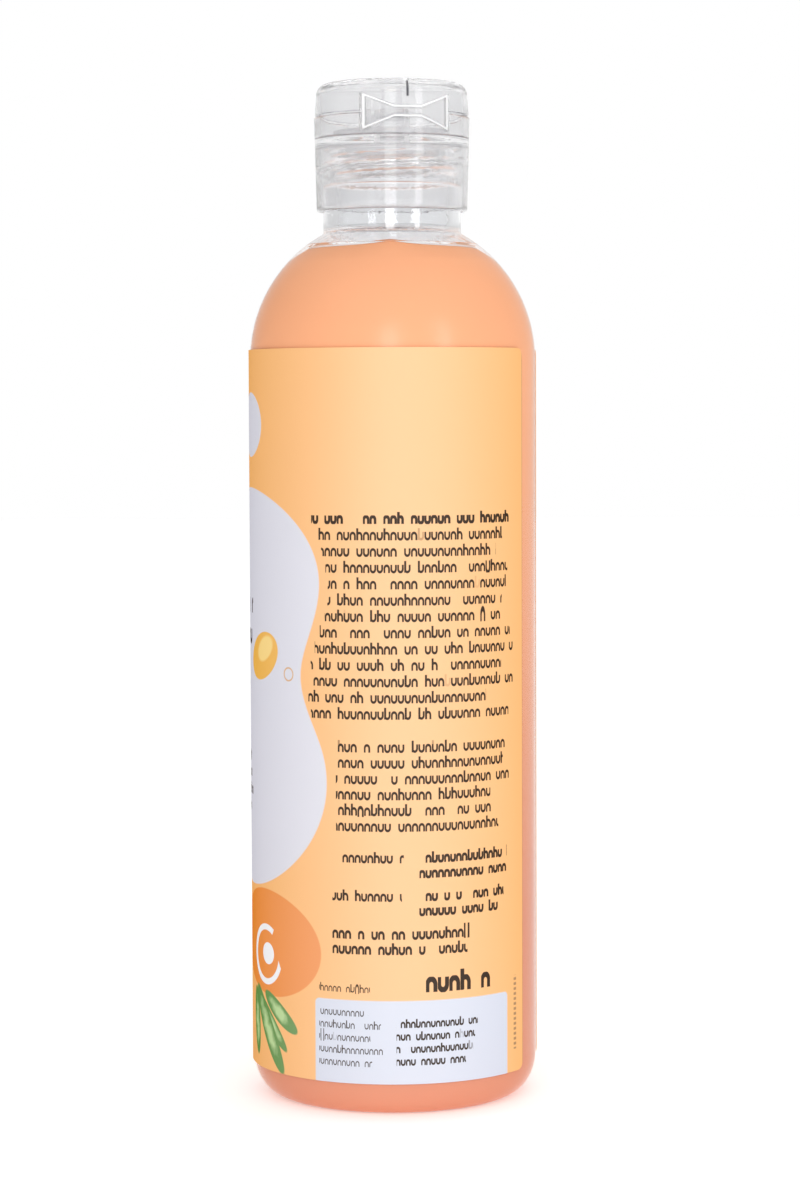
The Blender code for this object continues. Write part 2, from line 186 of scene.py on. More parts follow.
class StudioSetup(bpy.types.PropertyGroup):
    """Camera, lights and backdrop."""

    azimuth: bearing("Camera Azimuth", "Angle of the camera from -Y towards +X", -12.0)
    distance: length("Camera Distance", "Horizontal distance from the bottle's axis", 0.559)
    eye_height: length("Eye Height", "Height of the camera", 0.1204)
    pitch: bearing("Pitch", "How far the camera looks down", 3.42)
    yaw: bearing("Yaw", "How far the camera looks past the axis", -0.117)
    roll: bearing("Roll", "Tilt of the camera about its own axis", -0.21)
    lens: FloatProperty(
        name="Lens", description="Focal length", default=95.25, unit="CAMERA")
    soft_box: brightness("Soft Box", "Brightness of the two soft boxes", 1.6)
    fill: brightness("Fill", "Brightness of the soft fill", 1.32)
    glint: brightness("Glint", "Extra brightness of the soft boxes in the clear plastic", 5.0)
    turn_steps: IntProperty(
        name="Turn Steps", description="Faces round a turned piece", default=192, min=24)


# ---------------------------------------------------------------- modelling helpers


def edit_mode():
    """Open the active piece for editing."""
    bpy.ops.object.mode_set(mode="EDIT")


def object_mode():
    """Close the active piece."""
    bpy.ops.object.mode_set(mode="OBJECT")


def select_all():
    """In edit mode, select everything."""
    bpy.ops.mesh.select_all(action="SELECT")


def shift(x, y, z):
    """Move what is selected."""
    bpy.ops.transform.translate(value=(x, y, z))


def deselect():
    """Leave edit mode and select nothing."""
    if bpy.context.object and bpy.context.object.mode != "OBJECT":
        object_mode()
    bpy.ops.object.select_all(action="DESELECT")


def pick(piece):
    """Make a piece the only selected one."""
    deselect()
    piece.select_set(True)
    bpy.context.view_layer.objects.active = piece


def arc(centre, height, radius, start, end, steps):
    """Points of a section's arc, as distance from the axis and height. Angles in degrees."""
    points = []
    for step in range(steps + 1):
        angle = math.radians(start + (end - start) * step / steps)
        points.append((centre + radius * math.cos(angle), height + radius * math.sin(angle)))
    return points


def line(start, end, steps):
    """Points of a straight run of a section, without its first one."""
    (r0, z0), (r1, z1) = start, end
    return [(r0 + (r1 - r0) * s / steps, z0 + (z1 - z0) * s / steps)
            for s in range(1, steps + 1)]


def turned(name, section, closed=False):
    """Draw a section point by point and spin it round the Z axis."""
    steps = bpy.context.scene.studio_setup.turn_steps
    deselect()
    bpy.ops.mesh.primitive_plane_add(size=MM)
    piece = bpy.context.object
    piece.name = name
    edit_mode()
    bpy.ops.mesh.select_mode(type="VERT")
    select_all()
    bpy.ops.mesh.merge(type="CENTER")
    shift(section[0][0], 0, section[0][1])
    run = list(section) + [section[0]] if closed else list(section)
    for (r0, z0), (r1, z1) in zip(run, run[1:]):
        bpy.ops.mesh.extrude_vertices_move(
            TRANSFORM_OT_translate={"value": (r1 - r0, 0, z1 - z0)})
    select_all()
    bpy.ops.mesh.spin(steps=steps, angle=FULL_TURN, center=(0, 0, 0), axis=(0, 0, 1))
    select_all()
    bpy.ops.mesh.remove_doubles(threshold=MERGE_DISTANCE)
    bpy.ops.mesh.normals_make_consistent(inside=False)
    object_mode()
    return piece


def smooth(piece, degrees=35.0):
    """Smooth shading, with edges sharper than the angle kept crisp."""
    pick(piece)
    bpy.ops.object.shade_smooth_by_angle(angle=math.radians(degrees))


def apply(piece, kind, **settings):
    """Add a modifier to a piece, set it and apply it."""
    pick(piece)
    bpy.ops.object.modifier_add(type=kind)
    modifier = piece.modifiers[-1]
    for key, value in settings.items():
        setattr(modifier, key, value)
    bpy.ops.object.modifier_apply(modifier=modifier.name)


def cut_away(piece, cutter):
    """Take a cutter's solid out of a piece."""
    apply(piece, "BOOLEAN", operation="DIFFERENCE", solver="EXACT", object=cutter)
    bpy.data.objects.remove(cutter)


def push(piece, weigh, height, direction="NORMAL"):
    """Push a piece's surface along its normals or one axis, by height times
    weigh(radius, angle, z)."""
    group = piece.vertex_groups.new(name="pushed")
    for vertex in piece.data.vertices:
        x, y, z = vertex.co
        weight = weigh(math.hypot(x, y), math.degrees(math.atan2(x, -y)), z)
        if weight > 0:
            group.add([vertex.index], weight, "REPLACE")
    apply(piece, "DISPLACE", direction=direction, mid_level=0.0, strength=height,
          vertex_group="pushed")
    piece.vertex_groups.clear()


def helix_weight(angle, z, start_angle, start_z, turns, pitch, foot):
    """How far a point stands on a thread's ridge, from 0 at the foot to 1 on the crest."""
    best = 0.0
    for turn in range(int(turns) + 2):
        along = (angle - start_angle) % CIRCLE + CIRCLE * turn
        if along > CIRCLE * turns:
            continue
        away = abs(z - start_z - pitch * along / CIRCLE)
        side = (foot / 2 - away) / (foot / 2 - THREAD_CREST / 2)
        end = min(along, CIRCLE * turns - along) / THREAD_RUN_OUT
        fade = math.sqrt(max(0.0, 1 - (1 - min(1.0, end)) ** 2))
        best = max(best, min(1.0, max(0.0, side)) * fade)
    return best


def flat_plate(name, outline_steps, width, height):
    """A flat upright plate in the XZ plane, cut into columns, ready to be shaped and bent."""
    deselect()
    bpy.ops.mesh.primitive_grid_add(x_subdivisions=outline_steps, y_subdivisions=1, size=1)
    piece = bpy.context.object
    piece.name = name
    edit_mode()
    select_all()
    bpy.ops.transform.resize(value=(width, height, 1))
    bpy.ops.transform.rotate(value=-math.pi / 2, orient_axis="X", center_override=(0, 0, 0))
    object_mode()
    return piece


def cut_columns(width, columns):
    """Cut the open plate into columns of equal width."""
    for column in range(1, columns):
        select_all()
        bpy.ops.mesh.bisect(plane_co=(width * (column / columns - 0.5), 0, 0),
                            plane_no=(1, 0, 0))


def bend_round(piece, width, radius, angle, height):
    """Wrap a flat upright plate round the Z axis, its middle at an angle from -Y towards +X."""
    apply(piece, "SIMPLE_DEFORM", deform_method="BEND", deform_axis="Z", angle=width / radius)
    pick(piece)
    edit_mode()
    select_all()
    shift(0, -radius, height)
    object_mode()
    piece.data.transform(Matrix.Rotation(angle, 4, "Z"))
    return piece


def face_out(sheet):
    """Turn an open sheet's faces away from the axis."""
    facing = sum(face.area * (face.normal.x * face.center.x + face.normal.y * face.center.y)
                 for face in sheet.data.polygons)
    if facing < 0:
        pick(sheet)
        edit_mode()
        select_all()
        bpy.ops.mesh.flip_normals()
        object_mode()


def dress(piece, body, slot, material, *nodes):
    """Give a piece its material, hide the parts it stands for and hang it on the body it rides on.
    """
    piece.data.materials.clear()
    piece.data.materials.append(material)
    piece.matrix_world = Matrix.Identity(4)
    if slot == "clear_pet":
        bpy.data.collections["glint_takers"].objects.link(piece)
    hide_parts(*nodes)
    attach(piece, body)


# ---------------------------------------------------------------- material helpers


def arithmetic(operation, swapped=False):
    """An operator of Wire, as a Math node."""
    def act(self, other):
        return self.paint.math(operation, *((other, self) if swapped else (self, other)))
    return act


class Wire:
    """A number that varies over a surface, so that shader maths reads as arithmetic."""

    def __init__(self, paint, socket):
        self.paint = paint
        self.socket = socket

    __add__ = __radd__ = arithmetic("ADD")
    __sub__ = arithmetic("SUBTRACT")
    __rsub__ = arithmetic("SUBTRACT", swapped=True)
    __mul__ = __rmul__ = arithmetic("MULTIPLY")
    __truediv__ = arithmetic("DIVIDE")
    __rtruediv__ = arithmetic("DIVIDE", swapped=True)
    __pow__ = arithmetic("POWER")

    def __neg__(self):
        return self * -1.0

    def __abs__(self):
        return self.paint.math("ABSOLUTE", self)


class Paint:
    """A node material under construction."""

    def __init__(self, name):
        self.material = bpy.data.materials.new(name)
        self.material.use_nodes = True
        self.start(self.material.node_tree)

    @classmethod
    def on_tree(cls, tree):
        """The same tools on another tree, such as the studio's light."""
        paint = cls.__new__(cls)
        paint.start(tree)
        return paint

    def start(self, tree):
        """Begin with an empty tree."""
        self.tree = tree
        self.tree.nodes.clear()
        self.coordinates = None

    def join(self, value, socket):
        """Link a wire or a node's socket, or set a plain value."""
        if isinstance(value, Wire):
            self.tree.links.new(value.socket, socket)
        elif isinstance(value, bpy.types.NodeSocket):
            self.tree.links.new(value, socket)
        elif socket.type == "RGBA" and len(value) == 3:
            socket.default_value = (*value, 1.0)
        else:
            socket.default_value = value

    def node(self, kind, settings=None, inputs=None):
        """Add a node: its settings first, then the values or links of its sockets."""
        made = self.tree.nodes.new("ShaderNode" + kind)
        for key, value in (settings or {}).items():
            setattr(made, key, value)
        for key, value in (inputs or {}).items():
            self.join(value, made.inputs[key])
        return made

    def math(self, operation, *values, clamp=False):
        """One Math node on wires and numbers."""
        made = self.node("Math", {"operation": operation, "use_clamp": clamp},
                         dict(enumerate(values)))
        return Wire(self, made.outputs[0])

    def place(self):
        """The piece's own coordinates in millimetres: across, back and up."""
        if self.coordinates is None:
            source = self.node("TexCoord").outputs["Object"]
            split = self.node("SeparateXYZ", None, {0: source})
            self.coordinates = [Wire(self, split.outputs[i]) / MM for i in range(3)]
        return self.coordinates

    def angle(self):
        """Degrees round the axis, from -Y towards +X."""
        across, back, _ = self.place()
        return self.math("ARCTAN2", across, -back) * math.degrees(1)

    def below(self, value, edge, soft):
        """1 where a value is below an edge, fading to 0 over a soft width."""
        return self.math("ADD", (edge - value) / soft, 0.5, clamp=True)

    def within(self, value, low, high, soft):
        """1 where a value lies between two edges."""
        return self.below(abs(value - (low + high) / 2), (high - low) / 2, soft)

    def noise(self, scale, detail=2.0, roughness=0.5, stretch=(1, 1, 1), seed=0.0):
        """Smooth noise in the piece's own space, 0 to 1. Scale is in cycles per metre."""
        source = self.node("TexCoord").outputs["Object"]
        moved = self.node("Mapping", None, {"Vector": source, "Scale": stretch,
                                            "Location": (seed, seed, seed)})
        made = self.node("TexNoise", None, {"Vector": moved.outputs[0], "Scale": scale,
                                            "Detail": detail, "Roughness": roughness})
        return Wire(self, made.outputs[0])

    def mix(self, low, high, factor):
        """One colour into another."""
        made = self.node("Mix", {"data_type": "RGBA"}, {0: factor, 6: low, 7: high})
        return made.outputs[2]

    def bump(self, height, distance):
        """A normal raised by a wire."""
        made = self.node("Bump", None, {"Height": height, "Distance": distance,
                                        "Strength": 1.0})
        return made.outputs[0]

    def shine(self, inputs):
        """A Principled surface."""
        return self.node("BsdfPrincipled", None, inputs)

    def blend(self, factor, first, second):
        """One shader into another."""
        return self.node("MixShader", None, {0: factor, 1: first.outputs[0],
                                             2: second.outputs[0]})

    def clear_through(self):
        """A surface that lets all light straight through."""
        return self.node("BsdfTransparent", None, {"Color": WHITE})

    def facing(self):
        """0 where the surface faces the eye, rising to 1 at its outline."""
        made = self.node("LayerWeight", None, {"Blend": 0.5})
        return Wire(self, made.outputs["Facing"])

    def finish(self, shader):
        """Send a shader to the surface."""
        self.node("OutputMaterial", None, {"Surface": shader.outputs[0]})
        return self.material


def clear_plastic(name, colour, index, grain, depth, clarity=1.0, gloss=0.5, edges=()):
    """Clear moulded plastic: refracting, with a faint flow grain in its skin. Clarity below 1
    leaves some milkiness. Most light passes it, so what stands inside is lit, and light
    caught inside the wall gets out. Edges are heights in metres of moulded edges, which
    gather shade."""
    paint = Paint(name)
    flow = paint.noise(90.0, 3.0, 0.5, stretch=(1.0, 1.0, 0.35), seed=grain)
    fine = paint.noise(900.0, 2.0, 0.6, seed=grain)
    normal = paint.bump(flow + fine * 0.08, depth)
    up = paint.place()[2]
    for edge in edges:
        line = paint.below(abs(up - edge / MM), 0.1, 0.08)
        colour = paint.mix(colour, EDGE_SHADE, line)
    shader = paint.shine({
        "Base Color": colour,
        "Roughness": fine * 0.02,
        "IOR": index,
        "Transmission Weight": clarity,
        "Specular IOR Level": gloss,
        "Normal": normal,
    })
    through = paint.clear_through()
    ray = paint.node("LightPath").outputs
    trapped = paint.math("GREATER_THAN", Wire(paint, ray["Glossy Depth"]), TRAPPED_TURNS)
    passed = paint.math("MAXIMUM", Wire(paint, ray["Is Shadow Ray"]) * LIGHT_PASSED, trapped)
    return paint.finish(paint.blend(passed, shader, through))


def closure_plastic(name, grain, edges=()):
    """The slightly milky polypropylene of the closure's mouldings."""
    colours = bpy.context.scene.finish_colours
    return clear_plastic(name, colours.clear_closure, PP_INDEX, grain, 0.0001, 0.86, 0.3, edges)


def groove_painted_shade():
    """Dull grey on the faces of the short groove in the lid's rear edge: painted shade in the
    recess.
    """
    paint = Paint("clear_pp_groove_shade")
    rough = paint.noise(900.0, 2.0, 0.5, seed=8.0)
    return paint.finish(paint.shine({"Base Color": (0.16, 0.16, 0.18),
                                     "Roughness": 0.5 + rough * 0.2,
                                     "Transmission Weight": 0.4}))


def hinge_plastic(colour, height, outline):
    """Clear plastic with white along the outline of a bow-tie web, standing in for the light its
    rim catches: painted highlight.
    """
    paint = Paint("clear_pp_hinge")
    half, waist, narrow, tall = (size / MM for size in outline)
    along = abs(paint.angle()) * (PER_DEGREE * WEB_RADIUS / MM)
    spread = paint.math("MAXIMUM", along - waist, 0.0) * ((tall - narrow) / (half - waist))
    inset = paint.math("MINIMUM", spread + narrow - abs(paint.place()[2] - height / MM),
                       half - along)
    rim_speckle = paint.noise(500.0, 2.0, 0.6, seed=4.0)
    ends = paint.below(half - along, 0.5, 0.3)
    # painted highlight: white mixed in along the web's outline, wider at its ends; the even share
    # of white all over is the plastic's milkiness
    rim = paint.below(inset, 0.3 + ends * 0.14, 0.2) * 0.72 + 0.18 + rim_speckle * 0.06
    clear = paint.shine({"Base Color": colour, "Roughness": 0.05 + rim_speckle * 0.03,
                         "IOR": PP_INDEX, "Transmission Weight": 1.0,
                         "Specular IOR Level": 0.25})
    # white plastic that gives the painted highlight along the rim
    white = paint.shine({"Base Color": (0.97, 0.97, 0.98), "Roughness": 0.4 + rim_speckle * 0.1,
                         "Specular IOR Level": 0.4})
    return paint.finish(paint.blend(rim, clear, white))


def wetted_skin(name, index):
    """Bottle wall with liquid against it: only its outer gloss shows."""
    paint = Paint(name)
    flow = paint.noise(60.0, 2.0, 0.5, stretch=(1.0, 1.0, 0.5))
    normal = paint.bump(flow, 0.0004)
    through = paint.clear_through()
    gloss = paint.node("BsdfGlossy", None, {"Color": WHITE, "Roughness": 0.24,
                                            "Normal": normal})
    head_on = ((index - 1) / (index + 1)) ** 2
    mirror = head_on * 0.4 + (1 - head_on) * paint.facing() ** 6.5
    return paint.finish(paint.blend(mirror, through, gloss))


def pearly_liquid(colours):
    """Opaque pearly shampoo, a little darker and pinker towards the base, with slow swirls of
    pearl.
    """
    paint = Paint("peach_shampoo")
    _, _, up = paint.place()
    swirl = paint.noise(28.0, 3.0, 0.55, stretch=(1.0, 1.0, 0.45), seed=3.0)
    cloud = paint.noise(140.0, 2.0, 0.5, seed=1.0)
    lift = paint.math("DIVIDE", up - 30.0, 95.0, clamp=True) + (swirl - 0.5) * 0.25
    body = paint.mix(colours.liquid_low, colours.liquid, lift)
    shader = paint.shine({
        "Base Color": body,
        "Roughness": 0.5 + cloud * 0.12,
        "Specular IOR Level": 0.0,
    })
    return paint.finish(shader)


# the wavy panel: millimetres from bulge to bulge, degrees of swing, height of one bulge
PANEL_WAVE = 34.0
PANEL_SWING = 4.6
PANEL_BULGE = 90.5
# greeked rows: share of gaps between words and of letters with a stem
WORD_GAPS = 0.17
STEMS = 0.3
MARK_WHITE = (0.9, 0.9, 0.92)
LEAF_LIGHT = tint(182, 212, 146)
AMBER = tint(240, 180, 72)
AMBER_LIGHT = tint(250, 214, 130)
FLOWER = tint(214, 168, 120)
PALE_BOX = tint(208, 213, 228)
# darker orange of the painted shadow along the label's edge
PAINTED_EDGE_SHADOW = tint(206, 140, 92)


class Print:
    """The label's printed drawing, on the sheet unrolled to millimetres along and up."""

    def __init__(self, paint, radius, colour):
        self.paint = paint
        self.angle = paint.angle()
        self.up = paint.place()[2]
        self.per_degree = PER_DEGREE * radius / MM
        self.along = self.angle * self.per_degree
        self.colour = colour
        self.lines = {}

    def ink(self, colour, mask):
        """Print a colour where a mask says."""
        self.colour = self.paint.mix(self.colour, colour, mask)

    def spot(self, colour, soft, *oval):
        """Print a filled oval."""
        self.ink(colour, self.paint.below(self.oval(*oval), 1.0, soft))

    def oval(self, angle, up, half_angle, half_up, turn=0.0):
        """Square of the distance from an oval's middle: 1 on its edge."""
        x = (self.angle - angle) * self.per_degree
        z = self.up - up
        c, s = math.cos(math.radians(turn)), math.sin(math.radians(turn))
        return ((x * c + z * s) / (half_angle * self.per_degree)) ** 2.0 + (
            (z * c - x * s) / half_up) ** 2.0

    def window(self, left, right, low, high, corner, soft):
        """A rounded rectangle between two angles and two heights."""
        paint = self.paint
        half_x = (right - left) / 2 * self.per_degree - corner
        half_z = (high - low) / 2 - corner
        x = abs((self.angle - (left + right) / 2) * self.per_degree) - half_x
        z = abs(self.up - (low + high) / 2) - half_z
        x = paint.math("MAXIMUM", x, 0.0)
        z = paint.math("MAXIMUM", z, 0.0)
        away = paint.math("SQRT", x * x + z * z)
        return paint.below(away, corner, soft)

    def rows(self, top, count, pitch, left, right, height, stroke, ragged=0.0, hug=0.0):
        """A block of greeked rows. Rows start at the left angle, or swing round it with the
        wavy panel whose bulge is at height hug, and end up to ragged degrees early."""
        paint = self.paint
        low = top - count * pitch
        here = paint.within(self.up, low, top, 0.02)
        row = paint.math("FLOOR", (self.up - low) / pitch)
        middle = (row + 0.5) * pitch + low
        chance = Wire(paint, paint.node("TexWhiteNoise", {"noise_dimensions": "1D"},
                                        {"W": middle}).outputs["Value"])
        end = right - chance * ragged
        start = left
        if hug:
            swing = paint.math("COSINE", (middle - hug) * (FULL_TURN / PANEL_WAVE))
            start = left + PANEL_SWING * swing
        inside = paint.below(self.angle, end, 0.2) * (1.0 - paint.below(self.angle, start, 0.2))
        values = {"row": middle, "foot": row * pitch + low + (pitch - height) * 0.4,
                  "height": height, "stroke": stroke}
        mask = here * inside
        for key, value in values.items():
            part = value * mask if isinstance(value, Wire) else mask * value
            self.lines[key] = self.lines[key] + part if key in self.lines else part
        self.lines["mask"] = self.lines["mask"] + mask if "mask" in self.lines else mask

    def greeked(self):
        """Ink of all the rows: a running stroke that hints at words and spells nothing."""
        paint = self.paint
        height = paint.math("MAXIMUM", self.lines["height"], 0.2)
        turn = height * 0.58
        along = self.along / turn
        cell = paint.math("FLOOR", along)
        part = paint.math("FRACT", along)
        seed = paint.node("CombineXYZ", None, {0: cell, 1: self.lines["row"]})
        dice = paint.node("TexWhiteNoise", {"noise_dimensions": "2D"}, {"Vector": seed.outputs[0]})
        chance = Wire(paint, dice.outputs["Value"])
        other = Wire(paint, paint.node("SeparateColor", None,
                                       {0: dice.outputs["Color"]}).outputs[1])
        word = 1.0 - paint.below(chance, WORD_GAPS, 0.01)
        rise = (self.up - self.lines["foot"]) / height
        stroke = self.lines["stroke"] / height
        soft = 0.1 / height
        # an arch or a cup in each step, as far from its curve as the stroke is wide
        side = abs(part - 0.46) * 1.9
        flip = paint.below(other, 0.45, 0.01)
        level = rise + flip * (0.66 - 2.0 * rise)
        bow = paint.math("MAXIMUM", level - 0.33, 0.0) / 0.33
        reach = paint.math("SQRT", side * side * 1.6 + bow * bow)
        curve = paint.below(abs(reach - 0.82) * 0.36, stroke * 0.5, soft)
        curve = curve * paint.within(level, -0.02, 0.72, soft)
        stem = paint.below(abs(part - 0.1) * 0.58, stroke * 0.5, soft)
        stem = stem * paint.within(rise, 0.0, 1.0, soft) * paint.below(chance, STEMS, 0.01)
        return word * paint.math("MAXIMUM", curve, stem) * paint.math(
            "MINIMUM", self.lines["mask"], 1.0)


def label_film(colours, radius):
    """Glossy printed film: plain ground, wavy panel, patch, drawings and small greeked print."""
    paint = Paint("label_film")
    sheet = Print(paint, radius, colours.ground)
    angle, up = sheet.angle, sheet.up

    upper = sheet.oval(-91.0, 91.2, 49.0, 15.9)
    lower = sheet.oval(-89.0, 57.2, 50.0, 19.4)
    wave = paint.math("SMOOTH_MIN", upper, lower, 3.3)
    panel = paint.below(wave, 1.0, 0.02)
    blob = paint.below(sheet.oval(-90.0, 118.0, 14.0, 5.6), 1.0, 0.05)
    white = paint.math("MAXIMUM", panel, blob)
    sheet.ink(colours.panel, white)

    sheet.spot(colours.patch, 0.03, -72.0, 28.4, 30.2, 9.2, -6.0)
    ring = sheet.oval(-74.0, 26.2, 11.0, 5.0)
    gap = paint.below(abs(angle + 63.0) + abs(up - 29.5) * 1.2, 6.5, 0.3)
    sheet.ink(MARK_WHITE, paint.within(ring, 0.72, 1.12, 0.05) * (1.0 - gap))
    sheet.spot(MARK_WHITE, 0.1, -72.5, 26.4, 4.6, 1.9)

    grain = paint.noise(420.0, 2.0, 0.6, seed=6.0)
    for blade in (sheet.oval(-84.0, 14.0, 3.4, 6.0, 5.0),
                  sheet.oval(-70.5, 14.6, 2.9, 6.6, 46.0),
                  sheet.oval(-64.4, 16.6, 3.6, 5.6, 57.0),
                  sheet.oval(-72.5, 13.2, 4.2, 8.6, 33.0)):
        shade = paint.mix(colours.leaf, LEAF_LIGHT, paint.below(blade + grain, 0.75, 0.5))
        sheet.ink(shade, paint.below(blade, 1.0, 0.12))

    sheet.spot(AMBER, 0.06, -76.0, 78.1, 12.6, 3.9, 24.0)
    sheet.spot(AMBER_LIGHT, 0.4, -74.0, 79.4, 7.0, 1.9, 30.0)
    flower = sheet.oval(-57.5, 75.4, 2.6, 1.15)
    sheet.ink(FLOWER, paint.within(flower, 0.7, 1.15, 0.1))

    sheet.ink(PALE_BOX, sheet.window(-44.6, 38.0, 3.0, 20.3, 0.8, 0.2))

    # the long block beside the panel, with a bold first row, and the one under it
    sheet.rows(103.8, 1, 2.755, -42.8, 43.2, 2.0, 0.68, ragged=4.0, hug=PANEL_BULGE)
    sheet.rows(101.045, 12, 2.755, -42.8, 43.2, 2.0, 0.5, ragged=18.0, hug=PANEL_BULGE)
    sheet.rows(65.1, 6, 2.69, -35.2, 43.7, 2.0, 0.5, ragged=16.0)
    # short rows in two columns
    sheet.rows(46.2, 1, 2.6, -36.9, -8.3, 1.9, 0.5)
    sheet.rows(46.2, 2, 2.6, -2.5, 42.8, 1.9, 0.6, ragged=6.0)
    sheet.rows(39.6, 1, 2.5, -36.9, -9.1, 1.9, 0.5)
    sheet.rows(39.6, 2, 2.5, -2.6, 39.4, 1.9, 0.6, ragged=10.0)
    sheet.rows(33.2, 2, 2.6, -37.0, 19.0, 2.0, 0.56, ragged=2.0)
    # the pale box: fine rows at its left, larger ones at its right
    sheet.rows(23.4, 1, 2.0, -42.9, -21.6, 1.4, 0.24)
    sheet.rows(26.2, 1, 5.0, -2.3, 28.3, 3.6, 1.1)
    sheet.rows(19.4, 5, 2.15, -43.0, -15.9, 1.4, 0.22, ragged=8.0)
    sheet.rows(17.6, 4, 2.15, -11.6, 26.7, 1.5, 0.4, ragged=20.0)
    # the front, on the wavy panel
    sheet.rows(90.0, 2, 5.4, -128.0, -84.0, 3.6, 1.0, ragged=4.0)
    sheet.rows(62.0, 4, 3.0, -126.0, -86.0, 2.0, 0.46, ragged=14.0)
    text = sheet.greeked()
    # painted shadow: a darker line along the film's cut edge at the open strip
    sheet.ink(PAINTED_EDGE_SHADOW, paint.within(angle, 49.1, 49.6, 0.15))
    # a narrow column of marks up the label's edge
    tick = paint.within(paint.math("FRACT", up * 1.15), 0.2, 0.75, 0.2)
    column = paint.within(angle, 42.3, 44.1, 0.5) * paint.within(up, 9.9, 22.8, 0.2)
    sheet.ink(colours.ink, tick * column * 0.6)
    sheet.ink(colours.ink, text)

    sheen = paint.noise(400.0, 2.0, 0.5)
    shader = paint.shine({
        "Base Color": sheet.colour,
        "Roughness": 0.34 + sheen * 0.06,
        "Specular IOR Level": 0.0,
    })
    satin = paint.node("BsdfGlossy", None, {"Color": WHITE, "Roughness": 0.62})
    gloss = 0.21 * (1.0 - paint.facing()) ** 1.5 * (1.0 - 0.8 * text)
    return paint.finish(paint.blend(gloss, shader, satin))


# ---------------------------------------------------------------- pieces


